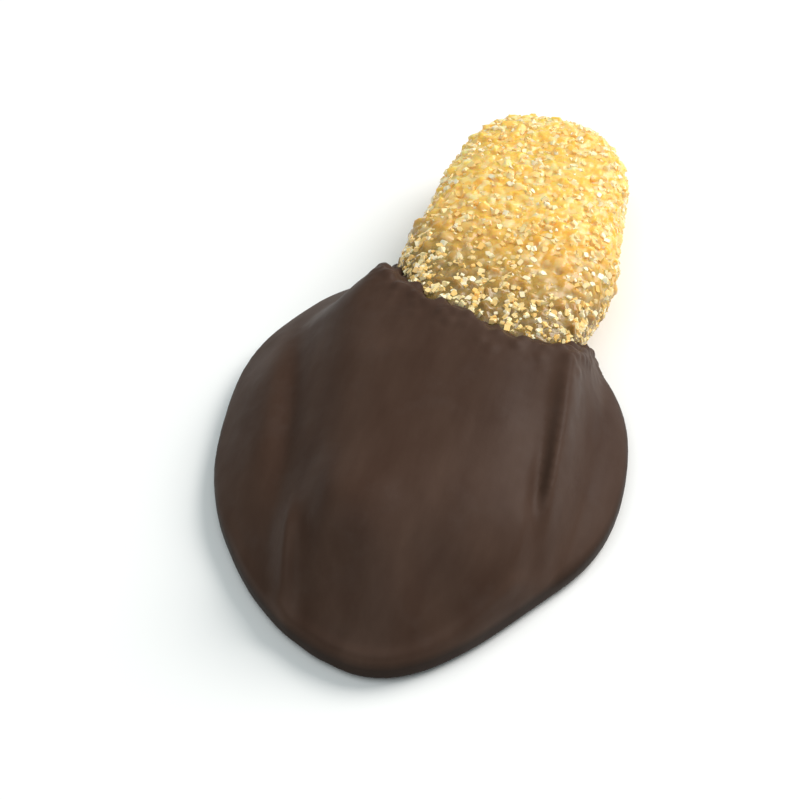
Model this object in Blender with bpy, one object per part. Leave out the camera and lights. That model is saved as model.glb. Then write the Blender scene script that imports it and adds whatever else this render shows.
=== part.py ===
"""A slice of crystallised ginger, half dipped in dark chocolate.

Two sub-parts, each one closed solid in metres, with +Z up and +Y towards the bare tip:
ginger     the slice, lumpy and crusted with sugar crystals where it is bare. It runs on
           inside the coat nearly to its far end.
chocolate  the coat, with a mouth that the slice comes out of, a raised top where it covers
           the slice, a low foot where it pooled, and a flat underside that it set on.
The origin is at the middle of the piece's footprint, on the surface that it rests on.
"""

import math
import random

import bmesh
import bpy
from mathutils import Matrix, Vector, noise

MM = 0.001

# The slice, along its length
TIP_Y = 26.7 * MM
FAR_END_Y = -22.6 * MM
TIP_X = 0.9 * MM
FAR_END_X = -2.6 * MM
SIDEWAYS_BOW = 1.7 * MM

# The slice, across: half widths and half thicknesses at its two ends, and the belly between
TIP_HALF_WIDTH = 6.9 * MM
FAR_HALF_WIDTH = 5.2 * MM
BELLY_WIDTH = 0.9 * MM
TIP_HALF_THICKNESS = 2.8 * MM
FAR_HALF_THICKNESS = 2.3 * MM
BELLY_THICKNESS = 0.75 * MM
UNDERSIDE_Z = 1.25 * MM
END_SQUARENESS = 3.3
SECTION_SQUARENESS = 2.7
LUMP_HEIGHT = 0.11
LUMP_SIZE = 6.5 * MM
NORMAL_STEP = 0.02

# The sugar crystals on the bare end
CRYSTALS = 235
CRYSTAL_SPACING = 1.75 * MM
CRYSTAL_LENGTH = 1.1 * MM
CRYSTAL_SPREAD = 0.28
CRYSTAL_WIDTHS = (0.7, 0.9)
CRYSTAL_THICKNESSES = (0.6, 0.8)
CRYSTAL_LEAN = 0.5
CRYSTAL_OUT = 0.04
CRYSTAL_SEED = 11
CRYSTAL_CLEAR = 1.1 * MM
CRYSTAL_TRIES = 40000

# The coat's footprint: an ellipse round its own centre, with lobes added to the radius
COAT_X = -1.35 * MM
COAT_Y = -9.5 * MM
COAT_HALF_WIDTH = 14.1 * MM
COAT_HALF_LENGTH = 18.1 * MM
# Each lobe: its direction and half width in degrees from +X, and its height
LOBES = (
    (104, 9, 1.3 * MM),  # left corner of the mouth
    (57, 5, 0.5 * MM),  # right corner of the mouth
    (32, 18, 0.35 * MM),  # right shoulder
    (83, 11, -1.6 * MM),  # between them, under the slice
    (118, 12, 1.4 * MM),  # from there to the left shoulder
    (140, 27, 1.85 * MM),  # left shoulder
    (232, 30, -1.0 * MM),  # flatter stretch at the far left
    (274, 13, 0.7 * MM),  # rounded far end
    (310, 24, -1.4 * MM),  # waist at the far right
)

# The coat, from its rim inwards. Its wall is plumb above the undercut, and rolls in below it.
WALL_SQUARENESS = 8.5
UNDERCUT_SQUARENESS = 4.5
UNDERCUT = 1.0 * MM
UNDERCUT_TURN = 1.3
FOOT_RIM = 1.9 * MM
FOOT_INNER = 7.8 * MM

# The raised top over the slice: its height, its crown across, and its fall to the far end
TOP_HEIGHT = 9.0 * MM
TOP_RIDGE_X = 1.0 * MM
TOP_CROWN = 2.6 * MM
TOP_FALL_FROM_Y = -6.0 * MM
TOP_FALL = 0.09

# The lines along which the top meets the foot, and the width of the shoulder inside each. The
# left line runs outwards to a neck behind the mouth, and turns in round the far end's knob.
LEFT_LINE_FAR_X = -9.2 * MM
LEFT_LINE_NEAR_X = -12.9 * MM
LEFT_LINE_FAR_Y = -18.0 * MM
LEFT_LINE_LENGTH = 22.0 * MM
LEFT_FAR_SHOULDER = 4.0 * MM
LEFT_NEAR_SHOULDER = 5.0 * MM
NECK_Y = -1.0 * MM
NECK_LENGTH = 10.0 * MM
NECK_SHIFT = 4.2 * MM
NECK_SHOULDER = 4.8 * MM
KNOB_Y = -20.0 * MM
KNOB_TURN = 0.06 / MM
RIGHT_LINE_X = 10.8 * MM
RIGHT_LINE_BEND = 1.5 * MM
RIGHT_LINE_WIDEST_Y = -9.5 * MM
RIGHT_LINE_REACH = 12.0 * MM
RIGHT_SHOULDER = 2.6 * MM
FAR_LINE_Y = -27.6 * MM
FAR_SHOULDER = 12.0 * MM

# Each hill on the coat: its middle and its two radii in mm, its turn in degrees, and its height
HILLS = (
    (-4.0, -20.4, 3.9, 3.5, 0, 1.2 * MM),  # knob over the slice's far end
    (-3.6, -23.8, 2.2, 1.4, -8, -0.5 * MM),  # its steep front
    (0.6, -25.2, 2.8, 1.8, 8, 0.4 * MM),  # swell in front of it
    (-7.4, -22.0, 0.6, 3.8, 12, 0.9 * MM),  # thin ridge left of the knob
    (-6.0, -21.8, 1.0, 3.0, 10, -0.8 * MM),  # hollow between that ridge and the knob
    (7.4, -12.0, 2.8, 9.0, 5, -1.1 * MM),  # fall along the right of the top
    (-8.2, -9.0, 2.8, 8.0, 10, -0.6 * MM),  # fall along the left of the top
    (8.1, -6.5, 0.7, 3.2, 4, 0.4 * MM),  # lip at the near right of the top
    (8.8, -14.2, 0.5, 4.2, 5, 0.5 * MM),  # thin ridge along the top's right edge
    (9.4, -6.6, 0.6, 4.0, 7, -1.0 * MM),  # crease outside its lip, near the mouth
    (-12.4, -8.0, 1.8, 7.5, 6, 0.4 * MM),  # crest on the left foot
    (1.6, -22.0, 1.8, 3.6, 24, -0.2 * MM),  # dip beside the knob
    (7.8, -14.6, 0.55, 4.8, 5, -0.7 * MM),  # crease between the top and its right ridge
    (-10.2, -11.0, 0.9, 8.0, 11, -0.5 * MM),  # crease between the top and the left foot
)
SWELL_HEIGHT = 0.22 * MM
SWELL_SIZE = 7.0 * MM

# The mouth: a slanting, ragged surface that ends the coat round the slice
MOUTH_Y = -0.5 * MM
MOUTH_ACROSS = -0.42
MOUTH_DOWN = 1.25
MOUTH_TOP_Z = 8.0 * MM
MOUTH_FLAT = 3.5 * MM
MOUTH_CURL = 1.3 * MM
MOUTH_CURL_REACH = 6.0 * MM
MOUTH_RAGGED = 0.9 * MM
MOUTH_RAGGED_SIZE = 1.6 * MM
MOUTH_RAGGED_LAYER = 4.0 * MM
MOUTH_HALF_WIDTH = 20.0 * MM
MOUTH_FAR_Y = 40.0 * MM
MOUTH_HEIGHT = 16.0 * MM
MOUTH_LOW_Z = -2.0 * MM
MOUTH_CELLS = 44

# Fit between the slice and the coat
GAP = 0.35 * MM

# Mesh fineness: cells along a side of the cube that each rounded form starts from
GINGER_CELLS = 14
COAT_CELLS = 20

# Where the sphere behind the coat has its rim, so that most cells lie on the upper side
RIM_HEIGHT = -0.45

# Materials
GINGER_COLOUR = (0.74, 0.44, 0.10)
GINGER_ROUGHNESS = 0.45
GINGER_SUBSURFACE = 0.3
CHOCOLATE_COLOUR = (0.065, 0.034, 0.022)
CHOCOLATE_ROUGHNESS = 0.42


def smooth(t):
    """0 below 0, 1 above 1, and an even rise between."""
    t = min(max(t, 0.0), 1.0)
    return t * t * (3.0 - 2.0 * t)


def blend(a, b, t):
    return a + (b - a) * t


def squared(a, b, power):
    """Moves the point (a, b) of a unit circle out onto a rounded square."""
    size = (abs(a) ** power + abs(b) ** power) ** (1.0 / power)
    return a / size, b / size


def rounded_form(name, cells, place):
    """A closed mesh object: a cube's grid on a unit sphere, with each vertex moved by place."""
    bm = bmesh.new()
    bmesh.ops.create_cube(bm, size=2.0)
    bmesh.ops.subdivide_edges(bm, edges=bm.edges[:], cuts=cells - 1, use_grid_fill=True)
    for vert in bm.verts:
        # The tangent evens out the cells, which would be smaller near the cube's corners.
        spread = Vector([math.tan(c * math.pi / 4.0) for c in vert.co])
        vert.co = place(spread.normalized())
    bmesh.ops.triangulate(bm, faces=bm.faces[:], quad_method="SHORT_EDGE")
    bmesh.ops.recalc_face_normals(bm, faces=bm.faces[:])
    mesh = bpy.data.meshes.new(name)
    bm.to_mesh(mesh)
    bm.free()
    return bpy.data.objects.new(name, mesh)


def slice_middle_x(t):
    """The slice's middle line, for t of 0 at its far end to 1 at its tip."""
    return blend(FAR_END_X, TIP_X, t) + SIDEWAYS_BOW * math.sin(math.pi * t)


def slice_half_width(t):
    belly = BELLY_WIDTH * math.sin(math.pi * t)
    return blend(FAR_HALF_WIDTH, TIP_HALF_WIDTH, smooth(t)) + belly


def slice_half_thickness(t):
    belly = BELLY_THICKNESS * math.sin(math.pi * t)
    return blend(FAR_HALF_THICKNESS, TIP_HALF_THICKNESS, smooth(t)) + belly


def slice_point(direction, grow=0.0):
    """The slice's surface in a direction from its middle, grown outwards by a distance."""
    round_part = math.hypot(direction.x, direction.z)
    ring, axial = squared(round_part, direction.y, END_SQUARENESS)
    across, up = 0.0, 0.0
    if round_part > 0.0:
        across, up = squared(direction.x / round_part, direction.z / round_part, SECTION_SQUARENESS)
    y = (TIP_Y + FAR_END_Y) / 2.0 + axial * (TIP_Y - FAR_END_Y) / 2.0
    t = min(max((y - FAR_END_Y) / (TIP_Y - FAR_END_Y), 0.0), 1.0)
    half_thickness = slice_half_thickness(t)
    middle = Vector((slice_middle_x(t), y, UNDERSIDE_Z + half_thickness))
    off = Vector((across * ring * slice_half_width(t), 0.0, up * ring * half_thickness))
    lump = 1.0 + LUMP_HEIGHT * noise.noise((middle + off) / LUMP_SIZE)
    point = middle + off * lump
    if grow:
        point += slice_outwards(direction) * grow
    return point


def slice_outwards(direction):
    """The surface's outward normal in a direction, from points a little to either side."""
    side = direction.orthogonal().normalized()
    other = direction.cross(side)
    a = slice_point((direction + side * NORMAL_STEP).normalized())
    b = slice_point((direction - side * NORMAL_STEP).normalized())
    c = slice_point((direction + other * NORMAL_STEP).normalized())
    d = slice_point((direction - other * NORMAL_STEP).normalized())
    return (a - b).cross(c - d).normalized()


def mouth_y(x, z):
    """Where the coat ends above and beside the slice."""
    ragged = noise.noise(Vector((x, z, MOUTH_RAGGED_LAYER)) / MOUTH_RAGGED_SIZE)
    level = MOUTH_Y + MOUTH_ACROSS * x + MOUTH_DOWN * (MOUTH_TOP_Z - z)
    level += MOUTH_CURL * smooth((abs(x) - MOUTH_FLAT) / MOUTH_CURL_REACH)
    return level + MOUTH_RAGGED * ragged


def coat_radius(angle):
    """The footprint's radius round the coat's own centre."""
    across = math.cos(angle) / COAT_HALF_WIDTH
    along = math.sin(angle) / COAT_HALF_LENGTH
    radius = 1.0 / math.hypot(across, along)
    for degrees, half_width, height in LOBES:
        off = (math.degrees(angle) - degrees + 180.0) % 360.0 - 180.0
        radius += height * math.exp(-((off / half_width) ** 2))
    return radius


def hill(x, y, middle_x, middle_y, radius_x, radius_y, degrees, height):
    """One hill's height at a place. Its middle and radii are in millimetres."""
    turn = math.radians(degrees)
    dx = x / MM - middle_x
    dy = y / MM - middle_y
    u = (dx * math.cos(turn) + dy * math.sin(turn)) / radius_x
    v = (dy * math.cos(turn) - dx * math.sin(turn)) / radius_y
    return height * math.exp(-(u * u + v * v))


def coat_height(x, y, out):
    """The coat's height at a place, before its wall rounds it off. out is 0 to 1 at the rim."""
    foot = blend(FOOT_INNER, FOOT_RIM, out * out)
    along = smooth((y - LEFT_LINE_FAR_Y) / LEFT_LINE_LENGTH)
    left_line = blend(LEFT_LINE_FAR_X, LEFT_LINE_NEAR_X, along)
    neck = smooth((y - NECK_Y) / NECK_LENGTH)
    left_line += NECK_SHIFT * neck + KNOB_TURN * max(KNOB_Y - y, 0.0) ** 2
    left_shoulder = blend(LEFT_FAR_SHOULDER, LEFT_NEAR_SHOULDER, along)
    left_shoulder = blend(left_shoulder, NECK_SHOULDER, neck)
    narrowing = ((y - RIGHT_LINE_WIDEST_Y) / RIGHT_LINE_REACH) ** 2
    right_line = RIGHT_LINE_X - RIGHT_LINE_BEND * narrowing
    raised = smooth((x - left_line) / left_shoulder)
    raised *= smooth((right_line - x) / RIGHT_SHOULDER)
    raised *= smooth((y - FAR_LINE_Y) / FAR_SHOULDER)
    crown = TOP_CROWN * ((x - TOP_RIDGE_X) / COAT_HALF_WIDTH) ** 2
    fall = TOP_FALL * max(TOP_FALL_FROM_Y - y, 0.0)
    height = blend(foot, TOP_HEIGHT - crown - fall, raised)
    height += SWELL_HEIGHT * noise.noise(Vector((x, y, 0.0)) / SWELL_SIZE)
    return height + sum(hill(x, y, *values) for values in HILLS)


def coat_point(direction):
    """The coat's outer surface for a direction on the unit sphere."""
    if direction.z > RIM_HEIGHT:
        up = (direction.z - RIM_HEIGHT) / (1.0 - RIM_HEIGHT)
    else:
        up = (direction.z - RIM_HEIGHT) / (1.0 + RIM_HEIGHT)
    up = math.sin(up * math.pi / 2.0)
    squareness = WALL_SQUARENESS if up > 0.0 else UNDERCUT_SQUARENESS
    out, up = squared(math.sqrt(max(1.0 - up * up, 0.0)), up, squareness)
    angle = math.atan2(direction.y, direction.x)
    radius = out * coat_radius(angle)
    x = COAT_X + radius * math.cos(angle)
    y = COAT_Y + radius * math.sin(angle)
    if up < 0.0:
        return Vector((x, y, max(UNDERCUT * (1.0 + UNDERCUT_TURN * up), 0.0)))
    return Vector((x, y, UNDERCUT + up * (coat_height(x, y, out) - UNDERCUT)))


def evaluated_mesh(obj):
    """A new mesh with the object's modifiers applied."""
    graph = bpy.context.evaluated_depsgraph_get()
    return bpy.data.meshes.new_from_object(obj.evaluated_get(graph))


def apply_modifiers(obj):
    mesh = evaluated_mesh(obj)
    obj.modifiers.clear()
    obj.data = mesh


def crystal_directions():
    """Directions for the crystals, spread evenly over the bare end by rejection."""
    rng = random.Random(CRYSTAL_SEED)
    clear_y = CRYSTAL_CLEAR * math.sqrt(1.0 + MOUTH_DOWN**2 + MOUTH_ACROSS**2)
    kept = []
    for _ in range(CRYSTAL_TRIES):
        direction = Vector([rng.gauss(0.0, 1.0) for _ in range(3)]).normalized()
        point = slice_point(direction)
        if point.y < mouth_y(point.x, point.z) + clear_y:
            continue
        if any((point - other).length < CRYSTAL_SPACING for _, other in kept):
            continue
        kept.append((direction, point))
        if len(kept) == CRYSTALS:
            break
    return kept


def sugar_crystal(index, direction, point, rng):
    """One blocky crystal, turned at random and sunk part way into the slice."""
    size = CRYSTAL_LENGTH * rng.uniform(1.0 - CRYSTAL_SPREAD, 1.0 + CRYSTAL_SPREAD)
    shape = Vector((size, size * rng.uniform(*CRYSTAL_WIDTHS), size * rng.uniform(*CRYSTAL_THICKNESSES)))
    outwards = slice_outwards(direction)
    lean = Vector([rng.uniform(-CRYSTAL_LEAN, CRYSTAL_LEAN) for _ in range(3)])
    turn = (outwards + lean).normalized().to_track_quat("Z", "Y").to_matrix().to_4x4()
    spin = Matrix.Rotation(rng.uniform(0.0, math.pi), 4, "Z")
    middle = Matrix.Translation(point + outwards * size * CRYSTAL_OUT)
    bm = bmesh.new()
    bmesh.ops.create_cube(bm, size=1.0, matrix=middle @ turn @ spin @ Matrix.Diagonal(shape).to_4x4())
    mesh = bpy.data.meshes.new(f"crystal_{index}")
    bm.to_mesh(mesh)
    bm.free()
    return bpy.data.objects.new(f"crystal_{index}", mesh)


def make_ginger(parts, cutters):
    """The slice with its crystals fused on."""
    ginger = rounded_form("ginger", GINGER_CELLS, slice_point)
    parts.objects.link(ginger)
    crystals = bpy.data.collections.new("sugar crystals")
    cutters.children.link(crystals)
    rng = random.Random(CRYSTAL_SEED)
    for index, (direction, point) in enumerate(crystal_directions()):
        crystals.objects.link(sugar_crystal(index, direction, point, rng))
    union = ginger.modifiers.new("Crystals", "BOOLEAN")
    union.operation = "UNION"
    union.operand_type = "COLLECTION"
    union.collection = crystals
    union.solver = "EXACT"
    apply_modifiers(ginger)
    for crystal in list(crystals.objects):
        bpy.data.objects.remove(crystal, do_unlink=True)
    bpy.data.collections.remove(crystals)
    return ginger


def mouth_cutter():
    """A block whose near side is the coat's slanting, ragged end."""
    bm = bmesh.new()
    bmesh.ops.create_grid(bm, x_segments=MOUTH_CELLS, y_segments=MOUTH_CELLS, size=1.0)
    for vert in bm.verts:
        x = vert.co.x * MOUTH_HALF_WIDTH
        z = MOUTH_LOW_Z + (vert.co.y + 1.0) / 2.0 * MOUTH_HEIGHT
        vert.co = Vector((x, mouth_y(x, z), z))
    back = bmesh.ops.extrude_face_region(bm, geom=bm.faces[:])
    for item in back["geom"]:
        if isinstance(item, bmesh.types.BMVert):
            item.co.y = MOUTH_FAR_Y
    bmesh.ops.recalc_face_normals(bm, faces=bm.faces[:])
    mesh = bpy.data.meshes.new("mouth cutter")
    bm.to_mesh(mesh)
    bm.free()
    return bpy.data.objects.new("mouth cutter", mesh)


def make_chocolate(parts, cutters):
    """The coat, less the room for the slice and what lies beyond the mouth."""
    chocolate = rounded_form("chocolate", COAT_CELLS, coat_point)
    parts.objects.link(chocolate)
    room = rounded_form("room for the slice", GINGER_CELLS, lambda d: slice_point(d, GAP))
    for cutter in (room, mouth_cutter()):
        cutters.objects.link(cutter)
        cutter.hide_render = True
        cutter.display_type = "WIRE"
        cut = chocolate.modifiers.new(cutter.name, "BOOLEAN")
        cut.operation = "DIFFERENCE"
        cut.object = cutter
        cut.solver = "EXACT"
    return chocolate


def give_material(obj, name, colour, roughness, subsurface):
    """One Principled BSDF material with the part's own colour."""
    material = bpy.data.materials.new(name)
    material.use_nodes = True
    shader = material.node_tree.nodes["Principled BSDF"]
    shader.inputs["Base Color"].default_value = (*colour, 1.0)
    shader.inputs["Roughness"].default_value = roughness
    shader.inputs["Metallic"].default_value = 0.0
    shader.inputs["Subsurface Weight"].default_value = subsurface
    obj.data.materials.clear()
    obj.data.materials.append(material)


def centre_on_footprint(objects, followers):
    """Moves everything so that the origin is at the footprint's middle, at floor level."""
    corners = [v.co for obj in objects for v in evaluated_mesh(obj).vertices]
    lows = [min(c[axis] for c in corners) for axis in range(3)]
    highs = [max(c[axis] for c in corners) for axis in range(3)]
    shift = Vector((-(lows[0] + highs[0]) / 2.0, -(lows[1] + highs[1]) / 2.0, -lows[2]))
    for obj in (*objects, *followers):
        obj.location = shift


def main():
    for obj in list(bpy.data.objects):
        bpy.data.objects.remove(obj, do_unlink=True)
    parts = bpy.data.collections.new("chocolate covered ginger")
    cutters = bpy.data.collections.new("cutters")
    for collection in (parts, cutters):
        bpy.context.scene.collection.children.link(collection)
    ginger = make_ginger(parts, cutters)
    chocolate = make_chocolate(parts, cutters)
    give_material(ginger, "crystallised ginger", GINGER_COLOUR, GINGER_ROUGHNESS, GINGER_SUBSURFACE)
    give_material(chocolate, "dark chocolate", CHOCOLATE_COLOUR, CHOCOLATE_ROUGHNESS, 0.0)
    centre_on_footprint((ginger, chocolate), list(cutters.objects))


main()
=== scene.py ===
"""Looks of a slice of crystallised ginger, half dipped in dark chocolate.

The coat, the slice and its sugar crust are built at fine detail from the same named sizes as
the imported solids, and laid over them. Lengths are in metres, +Y runs towards the bare tip.
"""

import math
import random

import bmesh
import bpy
import numpy as np
from mathutils import Matrix, Vector, noise
from mathutils.kdtree import KDTree


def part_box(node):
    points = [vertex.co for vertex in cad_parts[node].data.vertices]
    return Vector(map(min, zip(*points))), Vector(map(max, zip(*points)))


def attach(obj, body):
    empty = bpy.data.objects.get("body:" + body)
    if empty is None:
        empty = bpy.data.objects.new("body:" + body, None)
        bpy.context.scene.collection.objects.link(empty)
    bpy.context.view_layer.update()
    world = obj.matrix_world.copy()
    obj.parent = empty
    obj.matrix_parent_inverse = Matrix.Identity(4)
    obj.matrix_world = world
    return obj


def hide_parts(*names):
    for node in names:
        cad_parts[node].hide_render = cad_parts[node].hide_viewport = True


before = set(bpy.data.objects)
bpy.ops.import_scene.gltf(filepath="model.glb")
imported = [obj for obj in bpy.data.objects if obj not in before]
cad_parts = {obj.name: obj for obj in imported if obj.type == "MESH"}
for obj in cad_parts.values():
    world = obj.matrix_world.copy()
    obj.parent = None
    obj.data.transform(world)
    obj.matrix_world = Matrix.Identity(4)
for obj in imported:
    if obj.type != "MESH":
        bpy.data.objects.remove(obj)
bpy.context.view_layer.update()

MM = 0.001

# The slice, along its length
TIP_Y = 26.7 * MM
FAR_END_Y = -22.6 * MM
TIP_X = 0.9 * MM
FAR_END_X = -2.6 * MM
SIDEWAYS_BOW = 1.7 * MM

# The slice, across: half widths and half thicknesses at its two ends, and the belly between
TIP_HALF_WIDTH = 6.9 * MM
FAR_HALF_WIDTH = 5.2 * MM
BELLY_WIDTH = 0.9 * MM
TIP_HALF_THICKNESS = 2.8 * MM
FAR_HALF_THICKNESS = 2.3 * MM
BELLY_THICKNESS = 0.75 * MM
UNDERSIDE_Z = 1.25 * MM
END_SQUARENESS = 3.3
SECTION_SQUARENESS = 2.7
LUMP_HEIGHT = 0.11
LUMP_SIZE = 6.5 * MM
NORMAL_STEP = 0.02

# The coat's footprint: an ellipse round its own centre, with lobes added to the radius
COAT_X = -1.35 * MM
COAT_Y = -9.5 * MM
COAT_HALF_WIDTH = 14.1 * MM
COAT_HALF_LENGTH = 18.1 * MM
# Each lobe: its direction and half width in degrees from +X, and its height
LOBES = (
    (104, 9, 1.3 * MM),  # left corner of the mouth
    (57, 5, 0.5 * MM),  # right corner of the mouth
    (32, 18, 0.35 * MM),  # right shoulder
    (83, 11, -1.6 * MM),  # between them, under the slice
    (118, 12, 1.4 * MM),  # from there to the left shoulder
    (140, 27, 1.85 * MM),  # left shoulder
    (232, 30, -1.0 * MM),  # flatter stretch at the far left
    (274, 13, 0.7 * MM),  # rounded far end
    (310, 24, -1.4 * MM),  # waist at the far right
)

# The coat, from its rim inwards. Its wall is plumb above the undercut, and rolls in below it.
WALL_SQUARENESS = 8.5
UNDERCUT_SQUARENESS = 4.5
UNDERCUT = 1.0 * MM
UNDERCUT_TURN = 1.3
FOOT_RIM = 1.9 * MM
FOOT_INNER = 7.8 * MM

# Where the sphere behind the coat has its rim, so that most cells lie on the upper side
RIM_HEIGHT = -0.45

# The raised top over the slice: its height, its crown across, and its fall to the far end
TOP_HEIGHT = 9.0 * MM
TOP_RIDGE_X = 1.0 * MM
TOP_CROWN = 2.6 * MM
TOP_FALL_FROM_Y = -6.0 * MM
TOP_FALL = 0.09

# The lines along which the top meets the foot, and the width of the shoulder inside each. The
# left line runs outwards to a neck behind the mouth, and turns in round the far end's knob.
LEFT_LINE_FAR_X = -9.2 * MM
LEFT_LINE_NEAR_X = -12.9 * MM
LEFT_LINE_FAR_Y = -18.0 * MM
LEFT_LINE_LENGTH = 22.0 * MM
LEFT_FAR_SHOULDER = 4.0 * MM
LEFT_NEAR_SHOULDER = 5.0 * MM
NECK_Y = -1.0 * MM
NECK_LENGTH = 10.0 * MM
NECK_SHIFT = 4.2 * MM
NECK_SHOULDER = 4.8 * MM
KNOB_Y = -20.0 * MM
KNOB_TURN = 0.06 / MM
RIGHT_LINE_X = 10.8 * MM
RIGHT_LINE_BEND = 1.5 * MM
RIGHT_LINE_WIDEST_Y = -9.5 * MM
RIGHT_LINE_REACH = 12.0 * MM
RIGHT_SHOULDER = 2.6 * MM
FAR_LINE_Y = -27.6 * MM
FAR_SHOULDER = 12.0 * MM

# Each hill on the coat: its middle and its two radii in mm, its turn in degrees, and its height
HILLS = (
    (-4.0, -20.4, 3.9, 3.5, 0, 1.2 * MM),  # knob over the slice's far end
    (-3.6, -23.8, 2.2, 1.4, -8, -0.5 * MM),  # its steep front
    (0.6, -25.2, 2.8, 1.8, 8, 0.4 * MM),  # swell in front of it
    (-7.4, -22.0, 0.6, 3.8, 12, 0.9 * MM),  # thin ridge left of the knob
    (-6.0, -21.8, 1.0, 3.0, 10, -0.8 * MM),  # hollow between that ridge and the knob
    (7.4, -12.0, 2.8, 9.0, 5, -1.1 * MM),  # fall along the right of the top
    (-8.2, -9.0, 2.8, 8.0, 10, -0.6 * MM),  # fall along the left of the top
    (8.1, -6.5, 0.7, 3.2, 4, 0.4 * MM),  # lip at the near right of the top
    (8.8, -14.2, 0.5, 4.2, 5, 0.5 * MM),  # thin ridge along the top's right edge
    (9.4, -6.6, 0.6, 4.0, 7, -1.0 * MM),  # crease outside its lip, near the mouth
    (-12.4, -8.0, 1.8, 7.5, 6, 0.4 * MM),  # crest on the left foot
    (1.6, -22.0, 1.8, 3.6, 24, -0.2 * MM),  # dip beside the knob
    (7.8, -14.6, 0.55, 4.8, 5, -0.7 * MM),  # crease between the top and its right ridge
    (-10.2, -11.0, 0.9, 8.0, 11, -0.5 * MM),  # crease between the top and the left foot
)
SWELL_HEIGHT = 0.22 * MM
SWELL_SIZE = 7.0 * MM

# The mouth: a slanting, ragged surface that ends the coat round the slice, and its finer fray
MOUTH_Y = -0.5 * MM
MOUTH_ACROSS = -0.42
MOUTH_DOWN = 1.25
MOUTH_TOP_Z = 8.0 * MM
MOUTH_FLAT = 3.5 * MM
MOUTH_CURL = 1.3 * MM
MOUTH_CURL_REACH = 6.0 * MM
MOUTH_RAGGED = 0.9 * MM
MOUTH_RAGGED_SIZE = 1.6 * MM
MOUTH_RAGGED_LAYER = 4.0 * MM
MOUTH_HALF_WIDTH = 20.0 * MM
MOUTH_FAR_Y = 40.0 * MM
MOUTH_HEIGHT = 16.0 * MM
MOUTH_LOW_Z = -2.0 * MM
MOUTH_FRAY = 0.75 * MM
MOUTH_FRAY_SIZE = 0.65 * MM
MOUTH_FRAY_LAYER = 20.0 * MM

# Room left between the slice and the coat round it
ROOM_GAP = 0.02 * MM

# Mesh fineness: cells along a side of each starting grid, voxels in mm, and rounds of smoothing
GINGER_CELLS = 72
COAT_CELLS = 110
MOUTH_CELLS = 200
VOXEL = 0.2
LIP_SMOOTHING = 3
CRUST_VOXEL = 0.16
CRUST_SMOOTHING = 1

# Fine relief on the coat: streaks along it, a slight unevenness, sugar grains under the chocolate
# near the mouth, and a thin bead along the far rim
RELIEF_LOW_Z = 0.3 * MM
STREAK_HEIGHT = 0.05 * MM
STREAK_SIZE_X = 1.9 * MM
STREAK_SIZE_Y = 9.0 * MM
STREAK_SIZE_Z = 3.0 * MM
PEEL_HEIGHT = 0.012 * MM
PEEL_SIZE = 1.1 * MM
GRAIN_HEIGHT = 0.26 * MM
GRAIN_SIZE = 1.15 * MM
GRAIN_FALL = 1.7
GRAIN_REACH = 5.0 * MM
GRAIN_LOW_Z = 1.5 * MM
BEAD_HEIGHT = 0.16 * MM
BEAD_FROM_Y = -17.0 * MM
BEAD_FADE = 5.0 * MM
BEAD_OUT = 0.972
BEAD_WIDTH = 0.018
BEAD_LOW_Z = 1.2 * MM

# Sugar crust: for each size of crystal, the count and the shortest and longest length
CRYSTAL_SEED = 23
CRYSTAL_SIZES = (
    (160, 0.80 * MM, 1.10 * MM),
    (1500, 0.50 * MM, 0.78 * MM),
    (3800, 0.26 * MM, 0.48 * MM),
)
CRYSTAL_TRIES = 60000
BARE_SIDE = -0.35
CRYSTAL_ROOM = 0.40
CRYSTAL_OUT = 0.22
MOUTH_CLEAR = 0.1

# One crystal, as shares of its length: widths, thicknesses, shear, and how deep its cuts go
CRYSTAL_TEMPLATES = 10
CRYSTAL_WIDTHS = (0.68, 0.92)
CRYSTAL_THICKNESSES = (0.55, 0.8)
CRYSTAL_SHEAR = 0.18
CRYSTAL_CUTS = 5
CRYSTAL_CUT_REACH = (0.72, 0.86)
CRYSTAL_LEAN = 0.6

# Loose grains on the crust, and the share of them that is left out beyond a band at the mouth
SPARKLES = 3700
SPARKLE_THIN = 0.5
SPARKLE_BAND = 5.0 * MM
SPARKLE_SIZES = (0.20 * MM, 0.52 * MM)
SPARKLE_SEED = 31
SPARKLE_OUT = 0.20 * MM

# How far from the mouth the ginger carries painted shade, darker and duller where the coat shades it
COAT_SHADE_REACH = 13.5 * MM

# Colours. Each ramp's stops are a position and a colour.
CHOCOLATE_RAMP = (
    (0.30, (0.051, 0.0270, 0.0180)),
    (0.55, (0.063, 0.0355, 0.0245)),
    (0.75, (0.075, 0.0435, 0.0305)),
)
CHOCOLATE_BLOOM = (0.075, 0.050, 0.040)
# Painted shade: the chocolate's wall is darkened below these two heights above the floor
PAINTED_WALL_SHADE = (0.010, 0.007, 0.005)
WALL_SHADE_LOW_Z = 1.3 * MM
WALL_SHADE_HIGH_Z = 1.9 * MM
GINGER_RAMP = (
    (0.28, (0.93, 0.48, 0.070)),
    (0.50, (0.95, 0.56, 0.115)),
    (0.72, (0.97, 0.64, 0.180)),
)
# Painted shade: the ginger's colour towards the coat, where the chocolate keeps light off it
GINGER_PAINTED_SHADE = (0.23, 0.145, 0.040)
GINGER_PALE = (1.0, 0.86, 0.52)
SUGAR_RAMP = (
    (0.0, (0.96, 0.58, 0.17)),
    (0.50, (0.97, 0.69, 0.29)),
    (0.75, (0.98, 0.79, 0.43)),
    (1.0, (1.0, 0.89, 0.64)),
)
FLOOR_COLOUR = (0.92, 0.93, 0.92)

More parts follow.
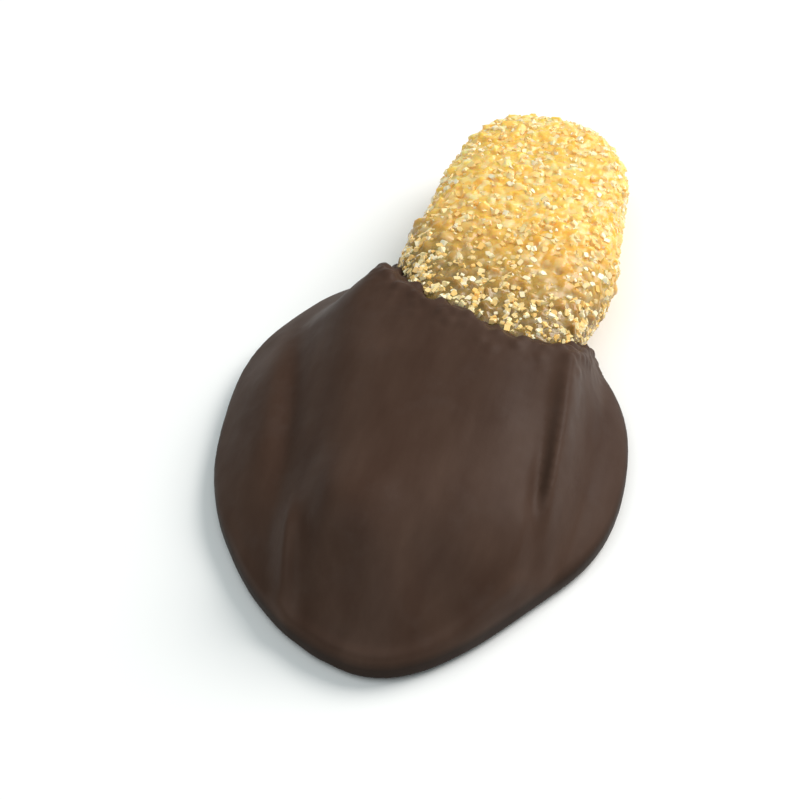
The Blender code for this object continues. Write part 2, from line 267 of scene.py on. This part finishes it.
# Patterns in the materials: each one's size, stretch and detail
CHOCOLATE_STREAKS = {"size": 5.0 * MM, "scale": (2.2, 0.6, 1.5), "detail": 4.0}
BLOOM_PATCHES = {"size": 3.2 * MM, "detail": 6.0, "roughness": 0.6}
GLOSS_PATCHES = {"size": 2.4 * MM, "detail": 5.0}
CHOCOLATE_RIPPLES = {"size": 1.6 * MM, "scale": (1.3, 0.7, 1.0), "detail": 3.0}
CHOCOLATE_GRAIN = {"size": 0.22 * MM, "detail": 3.0}
GINGER_PATCHES = {"size": 4.5 * MM, "scale": (1.4, 0.8, 1.2), "detail": 4.0}
GINGER_GRAIN = {"size": 0.25 * MM, "detail": 3.0}

# The stretch of a pattern over which its effect grows, and the most that each effect reaches
BLOOM_RANGE = (0.52, 0.75)
BLOOM_SHARE = 0.35
# Painted shade: how far the low wall of the chocolate is darkened
WALL_SHADE_SHARE = 0.65
GLOSS_RANGE = (0.3, 0.75)
PALE_RANGE = (0.55, 1.0)
PALE_SHARE = 0.5
# Painted shade: how far the ginger is darkened at the mouth
COAT_SHADE_SHARE = 0.95
RIPPLE_DEPTH = 0.05 * MM
CHOCOLATE_GRAIN_DEPTH = 0.008 * MM
CHOCOLATE_BUMP = 0.5
GINGER_GRAIN_DEPTH = 0.05 * MM
GINGER_BUMP = 0.6

# Each material's lowest and highest roughness
CHOCOLATE_ROUGHNESS = (0.44, 0.56)
GINGER_ROUGHNESS = (0.18, 0.40)
SUGAR_ROUGHNESS = (0.05, 0.22)

# Light: each lamp's name, place, size, power and colour
LAMPS = (
    ("key", (0.30, 0.28, 0.36), 0.42, 3.2, (1.0, 0.95, 0.92)),
    ("front", (-0.06, -0.24, 0.50), 0.60, 1.35, (0.94, 0.98, 1.0)),
)
LAMP_AIM = (0.0, 0.0, 0.004)
WORLD_COLOUR = (0.88, 0.99, 1.0)
WORLD_STRENGTH = 0.30
FLOOR_SIZE = 2.0

# The camera
CAMERA_PLACE = (24.8 * MM, -123.8 * MM, 118.0 * MM)
CAMERA_AIM = (-2.2 * MM, -4.6 * MM, 3.0 * MM)
CAMERA_LENS = 108.0
CAMERA_SENSOR = 36.0
CAMERA_CLIP = 0.005


def smooth(t):
    """0 below 0, 1 above 1, and an even rise between."""
    t = min(max(t, 0.0), 1.0)
    return t * t * (3.0 - 2.0 * t)


def blend(a, b, t):
    return a + (b - a) * t


def squared(a, b, power):
    """Moves the point (a, b) of a unit circle out onto a rounded square."""
    size = (abs(a) ** power + abs(b) ** power) ** (1.0 / power)
    return a / size, b / size


def link(obj):
    bpy.context.scene.collection.objects.link(obj)
    return obj


def rounded_form(name, cells, place):
    """A closed mesh object: a cube's grid on a unit sphere, with each vertex moved by place."""
    bm = bmesh.new()
    bmesh.ops.create_cube(bm, size=2.0)
    bmesh.ops.subdivide_edges(bm, edges=bm.edges[:], cuts=cells - 1, use_grid_fill=True)
    for vert in bm.verts:
        spread = Vector([math.tan(c * math.pi / 4.0) for c in vert.co])
        vert.co = place(spread.normalized())
    bmesh.ops.recalc_face_normals(bm, faces=bm.faces[:])
    mesh = bpy.data.meshes.new(name)
    bm.to_mesh(mesh)
    bm.free()
    return bpy.data.objects.new(name, mesh)


def slice_middle_x(t):
    return blend(FAR_END_X, TIP_X, t) + SIDEWAYS_BOW * math.sin(math.pi * t)


def slice_half_width(t):
    belly = BELLY_WIDTH * math.sin(math.pi * t)
    return blend(FAR_HALF_WIDTH, TIP_HALF_WIDTH, smooth(t)) + belly


def slice_half_thickness(t):
    belly = BELLY_THICKNESS * math.sin(math.pi * t)
    return blend(FAR_HALF_THICKNESS, TIP_HALF_THICKNESS, smooth(t)) + belly


def slice_point(direction, grow=0.0):
    """The slice's surface in a direction from its middle, grown outwards by a distance."""
    round_part = math.hypot(direction.x, direction.z)
    ring, axial = squared(round_part, direction.y, END_SQUARENESS)
    across, up = 0.0, 0.0
    if round_part > 0.0:
        across, up = squared(direction.x / round_part, direction.z / round_part, SECTION_SQUARENESS)
    y = (TIP_Y + FAR_END_Y) / 2.0 + axial * (TIP_Y - FAR_END_Y) / 2.0
    t = min(max((y - FAR_END_Y) / (TIP_Y - FAR_END_Y), 0.0), 1.0)
    half_thickness = slice_half_thickness(t)
    middle = Vector((slice_middle_x(t), y, UNDERSIDE_Z + half_thickness))
    off = Vector((across * ring * slice_half_width(t), 0.0, up * ring * half_thickness))
    lump = 1.0 + LUMP_HEIGHT * noise.noise((middle + off) / LUMP_SIZE)
    point = middle + off * lump
    if grow:
        point += slice_outwards(direction) * grow
    return point


def slice_outwards(direction):
    """The surface's outward normal in a direction, from points a little to either side."""
    side = direction.orthogonal().normalized()
    other = direction.cross(side)
    a = slice_point((direction + side * NORMAL_STEP).normalized())
    b = slice_point((direction - side * NORMAL_STEP).normalized())
    c = slice_point((direction + other * NORMAL_STEP).normalized())
    d = slice_point((direction - other * NORMAL_STEP).normalized())
    return (a - b).cross(c - d).normalized()


def mouth_y(x, z):
    """Where the coat ends above and beside the slice."""
    ragged = noise.noise(Vector((x, z, MOUTH_RAGGED_LAYER)) / MOUTH_RAGGED_SIZE)
    level = MOUTH_Y + MOUTH_ACROSS * x + MOUTH_DOWN * (MOUTH_TOP_Z - z)
    level += MOUTH_CURL * smooth((abs(x) - MOUTH_FLAT) / MOUTH_CURL_REACH)
    return level + MOUTH_RAGGED * ragged


def coat_radius(angle):
    """The footprint's radius round the coat's own centre."""
    across = math.cos(angle) / COAT_HALF_WIDTH
    along = math.sin(angle) / COAT_HALF_LENGTH
    radius = 1.0 / math.hypot(across, along)
    for degrees, half_width, height in LOBES:
        off = (math.degrees(angle) - degrees + 180.0) % 360.0 - 180.0
        radius += height * math.exp(-((off / half_width) ** 2))
    return radius


def hill(x, y, middle_x, middle_y, radius_x, radius_y, degrees, height):
    """One hill's height at a place. Its middle and radii are in millimetres."""
    turn = math.radians(degrees)
    dx = x / MM - middle_x
    dy = y / MM - middle_y
    u = (dx * math.cos(turn) + dy * math.sin(turn)) / radius_x
    v = (dy * math.cos(turn) - dx * math.sin(turn)) / radius_y
    return height * math.exp(-(u * u + v * v))


def coat_height(x, y, out):
    """The coat's height at a place, before its wall rounds it off. out is 0 to 1 at the rim."""
    foot = blend(FOOT_INNER, FOOT_RIM, out * out)
    along = smooth((y - LEFT_LINE_FAR_Y) / LEFT_LINE_LENGTH)
    left_line = blend(LEFT_LINE_FAR_X, LEFT_LINE_NEAR_X, along)
    neck = smooth((y - NECK_Y) / NECK_LENGTH)
    left_line += NECK_SHIFT * neck + KNOB_TURN * max(KNOB_Y - y, 0.0) ** 2
    left_shoulder = blend(LEFT_FAR_SHOULDER, LEFT_NEAR_SHOULDER, along)
    left_shoulder = blend(left_shoulder, NECK_SHOULDER, neck)
    narrowing = ((y - RIGHT_LINE_WIDEST_Y) / RIGHT_LINE_REACH) ** 2
    right_line = RIGHT_LINE_X - RIGHT_LINE_BEND * narrowing
    raised = smooth((x - left_line) / left_shoulder)
    raised *= smooth((right_line - x) / RIGHT_SHOULDER)
    raised *= smooth((y - FAR_LINE_Y) / FAR_SHOULDER)
    crown = TOP_CROWN * ((x - TOP_RIDGE_X) / COAT_HALF_WIDTH) ** 2
    fall = TOP_FALL * max(TOP_FALL_FROM_Y - y, 0.0)
    height = blend(foot, TOP_HEIGHT - crown - fall, raised)
    height += SWELL_HEIGHT * noise.noise(Vector((x, y, 0.0)) / SWELL_SIZE)
    return height + sum(hill(x, y, *values) for values in HILLS)


def coat_point(direction):
    """The coat's outer surface for a direction on the unit sphere."""
    if direction.z > RIM_HEIGHT:
        up = (direction.z - RIM_HEIGHT) / (1.0 - RIM_HEIGHT)
    else:
        up = (direction.z - RIM_HEIGHT) / (1.0 + RIM_HEIGHT)
    up = math.sin(up * math.pi / 2.0)
    squareness = WALL_SQUARENESS if up > 0.0 else UNDERCUT_SQUARENESS
    out, up = squared(math.sqrt(max(1.0 - up * up, 0.0)), up, squareness)
    angle = math.atan2(direction.y, direction.x)
    radius = out * coat_radius(angle)
    x = COAT_X + radius * math.cos(angle)
    y = COAT_Y + radius * math.sin(angle)
    if up < 0.0:
        return Vector((x, y, max(UNDERCUT * (1.0 + UNDERCUT_TURN * up), 0.0)))
    return Vector((x, y, UNDERCUT + up * (coat_height(x, y, out) - UNDERCUT)))


def apply_modifiers(obj):
    """Bakes the object's modifiers into its mesh."""
    graph = bpy.context.evaluated_depsgraph_get()
    mesh = bpy.data.meshes.new_from_object(obj.evaluated_get(graph))
    obj.modifiers.clear()
    obj.data = mesh


def positions(mesh):
    """The mesh's vertices as an array of rows."""
    values = np.empty(len(mesh.vertices) * 3, np.float32)
    mesh.vertices.foreach_get("co", values)
    return values.reshape(-1, 3).astype(float)


def set_positions(mesh, values):
    mesh.vertices.foreach_set("co", np.ascontiguousarray(values, np.float32).ravel())
    mesh.update()


def relax(mesh, rounds, strength=0.5):
    """Moves each vertex towards the middle of its neighbours, which rounds sharp lips."""
    ends = np.empty(len(mesh.edges) * 2, np.int32)
    mesh.edges.foreach_get("vertices", ends)
    a, b = ends.reshape(-1, 2).T
    count = np.bincount(a, minlength=len(mesh.vertices)) + np.bincount(b, minlength=len(mesh.vertices))
    here = positions(mesh)
    for _ in range(rounds):
        total = np.zeros_like(here)
        np.add.at(total, a, here[b])
        np.add.at(total, b, here[a])
        here += (total / count[:, None] - here) * strength
    set_positions(mesh, here)


def mouth_cutter():
    """A block whose near side is the coat's slanting, ragged end, frayed at a finer scale too."""
    bm = bmesh.new()
    bmesh.ops.create_grid(bm, x_segments=MOUTH_CELLS, y_segments=MOUTH_CELLS, size=1.0)
    for vert in bm.verts:
        x = vert.co.x * MOUTH_HALF_WIDTH
        z = MOUTH_LOW_Z + (vert.co.y + 1.0) / 2.0 * MOUTH_HEIGHT
        fray = MOUTH_FRAY * noise.noise(Vector((x, z, MOUTH_FRAY_LAYER)) / MOUTH_FRAY_SIZE)
        vert.co = Vector((x, mouth_y(x, z) + fray, z))
    back = bmesh.ops.extrude_face_region(bm, geom=bm.faces[:])
    for item in back["geom"]:
        if isinstance(item, bmesh.types.BMVert):
            item.co.y = MOUTH_FAR_Y
    bmesh.ops.recalc_face_normals(bm, faces=bm.faces[:])
    mesh = bpy.data.meshes.new("mouth_cutter")
    bm.to_mesh(mesh)
    bm.free()
    return bpy.data.objects.new("mouth_cutter", mesh)


def coat_relief(point):
    """How far the fine relief lifts the coat at a place."""
    stretched = (point.x / STREAK_SIZE_X, point.y / STREAK_SIZE_Y, point.z / STREAK_SIZE_Z)
    streak = noise.noise(Vector(stretched))
    peel = noise.noise(point / PEEL_SIZE)
    lift = STREAK_HEIGHT * streak + PEEL_HEIGHT * peel
    off_x = point.x - COAT_X
    off_y = point.y - COAT_Y
    out = math.hypot(off_x, off_y) / coat_radius(math.atan2(off_y, off_x))
    if point.z > BEAD_LOW_Z:
        bead = BEAD_HEIGHT * smooth((BEAD_FROM_Y - point.y) / BEAD_FADE)
        lift += bead * math.exp(-(((out - BEAD_OUT) / BEAD_WIDTH) ** 2))
    from_mouth = mouth_y(point.x, point.z) - point.y
    near = 1.0 - smooth(from_mouth / GRAIN_REACH)
    if near > 0.0 and point.z > GRAIN_LOW_Z:
        distances, _ = noise.voronoi(point / GRAIN_SIZE)
        lift += GRAIN_HEIGHT * near * near * max(1.0 - distances[0] * GRAIN_FALL, 0.0)
    return lift


def make_coat():
    """The coat: its outer form, cut out for the slice and at the mouth, then rounded and detailed."""
    coat = link(rounded_form("chocolate_coat", COAT_CELLS, coat_point))
    room = link(rounded_form("room", GINGER_CELLS, lambda d: slice_point(d, ROOM_GAP)))
    mouth = link(mouth_cutter())
    for obj in (coat, room, mouth):
        obj.data.transform(Matrix.Scale(1.0 / MM, 4))
    for cutter in (room, mouth):
        cut = coat.modifiers.new("Cut", "BOOLEAN")
        cut.operation = "DIFFERENCE"
        cut.object = cutter
        cut.solver = "MANIFOLD"
    remesh = coat.modifiers.new("Remesh", "REMESH")
    remesh.mode = "VOXEL"
    remesh.voxel_size = VOXEL
    remesh.use_smooth_shade = True
    apply_modifiers(coat)
    for cutter in (room, mouth):
        bpy.data.objects.remove(cutter, do_unlink=True)
    relax(coat.data, LIP_SMOOTHING)
    coat.data.transform(Matrix.Scale(MM, 4))
    coat.data.update()
    normals = [v.normal.copy() for v in coat.data.vertices]
    for vert, normal in zip(coat.data.vertices, normals):
        if vert.co.z > RELIEF_LOW_Z:
            vert.co += normal * coat_relief(vert.co)
        else:
            vert.co.z = max(vert.co.z, 0.0)
    coat.data.update()
    return coat


def crystal_template(rng):
    """One crystal of unit length: a block with its corners and some edges cut off at random."""
    bm = bmesh.new()
    bmesh.ops.create_cube(bm, size=1.0)
    width = rng.uniform(*CRYSTAL_WIDTHS)
    thickness = rng.uniform(*CRYSTAL_THICKNESSES)
    shape = Matrix.Diagonal((1.0, width, thickness)).to_4x4()
    shears = [rng.uniform(-CRYSTAL_SHEAR, CRYSTAL_SHEAR) for _ in range(2)]
    shear = Matrix.Shear("XY", 4, shears)
    bmesh.ops.transform(bm, matrix=shear @ shape, verts=bm.verts[:])
    for _ in range(CRYSTAL_CUTS):
        normal = Vector([rng.gauss(0.0, 1.0) for _ in range(3)]).normalized()
        reach = max(v.co.dot(normal) for v in bm.verts)
        geometry = bm.verts[:] + bm.edges[:] + bm.faces[:]
        cut = bmesh.ops.bisect_plane(
            bm,
            geom=geometry,
            plane_co=normal * reach * rng.uniform(*CRYSTAL_CUT_REACH),
            plane_no=normal,
            clear_outer=True,
        )
        edges = [e for e in cut["geom_cut"] if isinstance(e, bmesh.types.BMEdge)]
        bmesh.ops.contextual_create(bm, geom=edges)
    bmesh.ops.triangulate(bm, faces=bm.faces[:])
    bmesh.ops.recalc_face_normals(bm, faces=bm.faces[:])
    bm.verts.index_update()
    points = np.array([v.co[:] for v in bm.verts])
    faces = np.array([[v.index for v in f.verts] for f in bm.faces])
    bm.free()
    return points, faces


def crystal_places(rng):
    """Where the crystals sit: the largest first, each clear of those already placed."""
    cell = CRYSTAL_SIZES[0][2]
    grid = {}
    placed = []
    for count, shortest, longest in CRYSTAL_SIZES:
        left = count
        for _ in range(CRYSTAL_TRIES):
            direction = Vector([rng.gauss(0.0, 1.0) for _ in range(3)]).normalized()
            size = rng.uniform(shortest, longest)
            if direction.y < BARE_SIDE:
                continue
            point = slice_point(direction)
            if point.y < mouth_y(point.x, point.z) + MOUTH_CLEAR * size:
                continue
            key = tuple(int(math.floor(c / cell)) for c in point)
            near = [
                other
                for i in (-1, 0, 1)
                for j in (-1, 0, 1)
                for k in (-1, 0, 1)
                for other in grid.get((key[0] + i, key[1] + j, key[2] + k), ())
            ]
            if any((point - p).length < CRYSTAL_ROOM * (size + s) for p, s in near):
                continue
            grid.setdefault(key, []).append((point, size))
            placed.append((direction, point, size))
            left -= 1
            if not left:
                break
    return placed


def crystal_mesh(name, places, rng, out):
    """Many crystals as one mesh. out gives how far each one's middle is above the slice."""
    templates = [crystal_template(rng) for _ in range(CRYSTAL_TEMPLATES)]
    points, faces, middles = [], [], []
    start = 0
    for direction, point, size in places:
        shape, sides = templates[rng.randrange(CRYSTAL_TEMPLATES)]
        outwards = slice_outwards(direction)
        lean = Vector([rng.uniform(-CRYSTAL_LEAN, CRYSTAL_LEAN) for _ in range(3)])
        turn = np.array((outwards + lean).normalized().to_track_quat("Z", "Y").to_matrix())
        spin = np.array(Matrix.Rotation(rng.uniform(0.0, 2.0 * math.pi), 3, "Z"))
        middle = point + outwards * out(size)
        points.append((shape * size) @ (turn @ spin).T + np.array(middle))
        faces.append(sides + start)
        middles.append((middle, rng.random(), len(shape)))
        start += len(shape)
    mesh = bpy.data.meshes.new(name)
    mesh.from_pydata(np.concatenate(points).tolist(), [], np.concatenate(faces).tolist())
    mesh.update()
    return mesh, middles


def paint(mesh, name, values):
    """A number for each vertex, which the material reads by its name."""
    layer = mesh.attributes.new(name, "FLOAT", "POINT")
    layer.data.foreach_set("value", np.asarray(values, np.float32))


def along_bare(point):
    """0 at the mouth to 1 well out on the bare end."""
    return smooth((point.y - mouth_y(point.x, point.z)) / COAT_SHADE_REACH)


def make_ginger():
    """The slice and the larger sugar crystals, melted together into one frosted surface."""
    rng = random.Random(CRYSTAL_SEED)
    places = crystal_places(rng)
    crystals, middles = crystal_mesh(
        "crystals", places, rng, lambda size: size * rng.uniform(0.0, CRYSTAL_OUT)
    )
    ginger = link(rounded_form("ginger_slice", GINGER_CELLS, slice_point))
    bm = bmesh.new()
    bm.from_mesh(ginger.data)
    bm.from_mesh(crystals)
    bmesh.ops.scale(bm, vec=Vector((1.0, 1.0, 1.0)) / MM, verts=bm.verts[:])
    bm.to_mesh(ginger.data)
    bm.free()
    bpy.data.meshes.remove(crystals)
    remesh = ginger.modifiers.new("Remesh", "REMESH")
    remesh.mode = "VOXEL"
    remesh.voxel_size = CRUST_VOXEL
    apply_modifiers(ginger)
    relax(ginger.data, CRUST_SMOOTHING)
    ginger.data.transform(Matrix.Scale(MM, 4))
    tree = KDTree(len(middles))
    for index, (middle, _, _) in enumerate(middles):
        tree.insert(middle, index)
    tree.balance()
    tints = [middles[tree.find(vert.co)[1]][1] for vert in ginger.data.vertices]
    paint(ginger.data, "tint", tints)
    # How far out from the mouth each vertex lies, which sets the painted shade near the coat
    paint(ginger.data, "along", [along_bare(vert.co) for vert in ginger.data.vertices])
    return ginger


def make_sparkles():
    """Loose grains on top of the crust."""
    rng = random.Random(SPARKLE_SEED)
    places = []
    while len(places) < SPARKLES:
        direction = Vector([rng.gauss(0.0, 1.0) for _ in range(3)]).normalized()
        point = slice_point(direction)
        off_mouth = point.y - mouth_y(point.x, point.z)
        kept = rng.random() > SPARKLE_THIN * smooth(off_mouth / SPARKLE_BAND)
        if kept and direction.y > BARE_SIDE and off_mouth > 0.0:
            places.append((direction, point, rng.uniform(*SPARKLE_SIZES)))
    mesh, middles = crystal_mesh("sugar_grains", places, rng, lambda size: SPARKLE_OUT)
    paint(mesh, "tint", [tint for _, tint, corners in middles for _ in range(corners)])
    return link(bpy.data.objects.new("sugar_grains", mesh))


class Nodes:
    """Short calls for building a material's node tree."""

    def __init__(self, name):
        self.material = bpy.data.materials.new(name)
        self.material.use_nodes = True
        self.tree = self.material.node_tree
        self.shader = self.tree.nodes["Principled BSDF"]

    def add(self, kind, **values):
        node = self.tree.nodes.new(kind)
        for key, value in values.items():
            if key in node.inputs:
                node.inputs[key].default_value = value
            else:
                setattr(node, key, value)
        return node

    def join(self, out, into):
        self.tree.links.new(out, into)

    def coordinates(self, scale=(1.0, 1.0, 1.0)):
        """The piece's own coordinates, stretched."""
        place = self.add("ShaderNodeTexCoord")
        mapping = self.add("ShaderNodeMapping")
        mapping.inputs["Scale"].default_value = scale
        self.join(place.outputs["Object"], mapping.inputs["Vector"])
        return mapping.outputs["Vector"]

    def noise(self, size, scale=(1.0, 1.0, 1.0), detail=3.0, roughness=0.5):
        """Noise with features of a given size in metres."""
        node = self.add("ShaderNodeTexNoise", Scale=1.0 / size, Detail=detail, Roughness=roughness)
        self.join(self.coordinates(scale), node.inputs["Vector"])
        return node.outputs["Fac"]

    def spread(self, value, low, high, start=0.0, end=1.0):
        """Maps a value from low..high onto start..end."""
        node = self.add("ShaderNodeMapRange")
        node.inputs["From Min"].default_value = low
        node.inputs["From Max"].default_value = high
        node.inputs["To Min"].default_value = start
        node.inputs["To Max"].default_value = end
        self.join(value, node.inputs["Value"])
        return node.outputs["Result"]

    def ramp(self, value, *stops):
        """A colour for each place, from (position, colour) stops."""
        node = self.add("ShaderNodeValToRGB")
        elements = node.color_ramp.elements
        while len(elements) < len(stops):
            elements.new(0.5)
        for element, (position, colour) in zip(elements, stops):
            element.position = position
            element.color = (*colour, 1.0)
        self.join(value, node.inputs["Fac"])
        return node.outputs["Color"]

    def mix(self, factor, a, b):
        """From colour a to colour b. Each argument is a socket, a number or a colour."""
        node = self.add("ShaderNodeMix", data_type="RGBA")
        for value, socket in ((factor, node.inputs[0]), (a, node.inputs[6]), (b, node.inputs[7])):
            if isinstance(value, bpy.types.NodeSocket):
                self.join(value, socket)
            elif isinstance(value, tuple):
                socket.default_value = (*value, 1.0)
            else:
                socket.default_value = value
        return node.outputs[2]

    def bump(self, height, distance, strength, before=None):
        """A normal from a height, laid over the normal before it if one is given."""
        node = self.add("ShaderNodeBump", Strength=strength, Distance=distance)
        self.join(height, node.inputs["Height"])
        if before is not None:
            self.join(before, node.inputs["Normal"])
        return node.outputs["Normal"]

    def set(self, **values):
        """Plain values on the shader's own sockets, with underscores for spaces."""
        for key, value in values.items():
            self.shader.inputs[key.replace("_", " ")].default_value = value


def chocolate_material():
    """Satin dark chocolate with soft streaks, a faint duller bloom and painted shade darkening the low
    part of its wall.
    """
    n = Nodes("dark_chocolate")
    colour = n.ramp(n.noise(**CHOCOLATE_STREAKS), *CHOCOLATE_RAMP)
    bloom = n.spread(n.noise(**BLOOM_PATCHES), *BLOOM_RANGE, 0.0, BLOOM_SHARE)
    colour = n.mix(bloom, colour, CHOCOLATE_BLOOM)
    height = n.add("ShaderNodeSeparateXYZ")
    n.join(n.coordinates(), height.inputs["Vector"])
    # Painted shade on the low wall, fading out between two heights above the floor
    edge = n.mix(WALL_SHADE_SHARE, colour, PAINTED_WALL_SHADE)
    colour = n.mix(n.spread(height.outputs["Z"], WALL_SHADE_LOW_Z, WALL_SHADE_HIGH_Z), edge, colour)
    n.join(colour, n.shader.inputs["Base Color"])
    gloss = n.spread(n.noise(**GLOSS_PATCHES), *GLOSS_RANGE, *CHOCOLATE_ROUGHNESS)
    n.join(gloss, n.shader.inputs["Roughness"])
    coarse = n.bump(n.noise(**CHOCOLATE_RIPPLES), RIPPLE_DEPTH, CHOCOLATE_BUMP)
    grain = n.noise(**CHOCOLATE_GRAIN)
    fine = n.bump(grain, CHOCOLATE_GRAIN_DEPTH, CHOCOLATE_BUMP, before=coarse)
    n.join(fine, n.shader.inputs["Normal"])
    n.set(IOR=1.16)
    return n.material


def ginger_material():
    """Translucent amber ginger under melted sugar, with paler and deeper patches, and painted shade
    that darkens it towards the coat.
    """
    n = Nodes("candied_ginger")
    tint = n.add("ShaderNodeAttribute", attribute_name="tint").outputs["Fac"]
    along = n.add("ShaderNodeAttribute", attribute_name="along").outputs["Fac"]
    colour = n.ramp(n.noise(**GINGER_PATCHES), *GINGER_RAMP)
    colour = n.mix(n.spread(tint, *PALE_RANGE, 0.0, PALE_SHARE), colour, GINGER_PALE)
    # Painted shade, strongest at the mouth and gone well out on the bare end
    shaded = n.mix(COAT_SHADE_SHARE, colour, GINGER_PAINTED_SHADE)
    colour = n.mix(along, shaded, colour)
    n.join(colour, n.shader.inputs["Base Color"])
    n.join(n.spread(tint, 0.0, 1.0, *GINGER_ROUGHNESS), n.shader.inputs["Roughness"])
    grain = n.bump(n.noise(**GINGER_GRAIN), GINGER_GRAIN_DEPTH, GINGER_BUMP)
    n.join(grain, n.shader.inputs["Normal"])
    n.set(Subsurface_Weight=1.0, Subsurface_Radius=(1.0, 0.6, 0.25), Subsurface_Scale=1.0 * MM)
    return n.material


def sugar_material():
    """Amber to milky sugar crystals, each with its own tint."""
    n = Nodes("sugar_crystals")
    tint = n.add("ShaderNodeAttribute", attribute_name="tint").outputs["Fac"]
    n.join(n.ramp(tint, *SUGAR_RAMP), n.shader.inputs["Base Color"])
    n.join(n.spread(tint, 0.0, 1.0, *SUGAR_ROUGHNESS), n.shader.inputs["Roughness"])
    n.set(IOR=1.5, Subsurface_Weight=0.3)
    n.set(Subsurface_Radius=(1.0, 0.7, 0.4), Subsurface_Scale=0.15 * MM)
    return n.material


def floor_material():
    """Plain matt white board."""
    n = Nodes("pale_floor")
    n.set(Base_Color=(*FLOOR_COLOUR, 1.0), Roughness=0.6, Specular_IOR_Level=0.2)
    return n.material


def dress(obj, material, smooth_shading):
    obj.data.materials.clear()
    obj.data.materials.append(material)
    obj.data.polygons.foreach_set("use_smooth", [smooth_shading] * len(obj.data.polygons))
    obj.data.update()


def frame_shift(coat):
    """From the piece's own coordinates to the frame's, by the coat's box."""
    low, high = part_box("chocolate")
    here = positions(coat.data)
    x = (low.x + high.x) / 2.0 - (here[:, 0].min() + here[:, 0].max()) / 2.0
    y = low.y - here[:, 1].min()
    return Vector((x, y, 0.0))


def soft_light(name, place, size, power, colour):
    """A round lamp, turned towards the piece."""
    data = bpy.data.lights.new(name, "AREA")
    data.shape = "DISK"
    data.size = size
    data.energy = power
    data.color = colour
    light = link(bpy.data.objects.new(name, data))
    light.location = place
    towards = Vector(LAMP_AIM) - Vector(place)
    light.rotation_euler = towards.to_track_quat("-Z", "Y").to_euler()


def make_camera(shift):
    """The photograph's viewpoint, aimed at the piece through a longer lens."""
    data = bpy.data.cameras.new("camera")
    camera = link(bpy.data.objects.new("camera", data))
    data.sensor_width = CAMERA_SENSOR
    data.lens = CAMERA_LENS
    data.clip_start = CAMERA_CLIP
    camera.location = Vector(CAMERA_PLACE) + shift
    towards = Vector(CAMERA_AIM) - camera.location
    camera.rotation_euler = towards.to_track_quat("-Z", "Y").to_euler()
    bpy.context.scene.camera = camera


def make_studio():
    """A pale floor in soft light, warmer from behind on the right and cooler from the front."""
    bpy.ops.mesh.primitive_plane_add(size=FLOOR_SIZE)
    floor = bpy.context.object
    floor.name = "floor"
    dress(floor, floor_material(), False)
    world = bpy.data.worlds.new("studio")
    world.use_nodes = True
    background = world.node_tree.nodes["Background"]
    background.inputs["Color"].default_value = (*WORLD_COLOUR, 1.0)
    background.inputs["Strength"].default_value = WORLD_STRENGTH
    scene = bpy.context.scene
    scene.world = world
    for lamp in LAMPS:
        soft_light(*lamp)
    scene.view_settings.view_transform = "Standard"
    scene.view_settings.look = "None"


def main():
    coat = make_coat()
    ginger = make_ginger()
    sugar = make_sparkles()
    shift = frame_shift(coat)
    for piece in (coat, ginger, sugar):
        piece.data.transform(Matrix.Translation(shift))
        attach(piece, "root")
    dress(coat, chocolate_material(), True)
    dress(ginger, ginger_material(), True)
    dress(sugar, sugar_material(), False)
    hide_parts("chocolate")
    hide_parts("ginger")
    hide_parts("ginger")
    make_camera(shift)
    make_studio()


main()
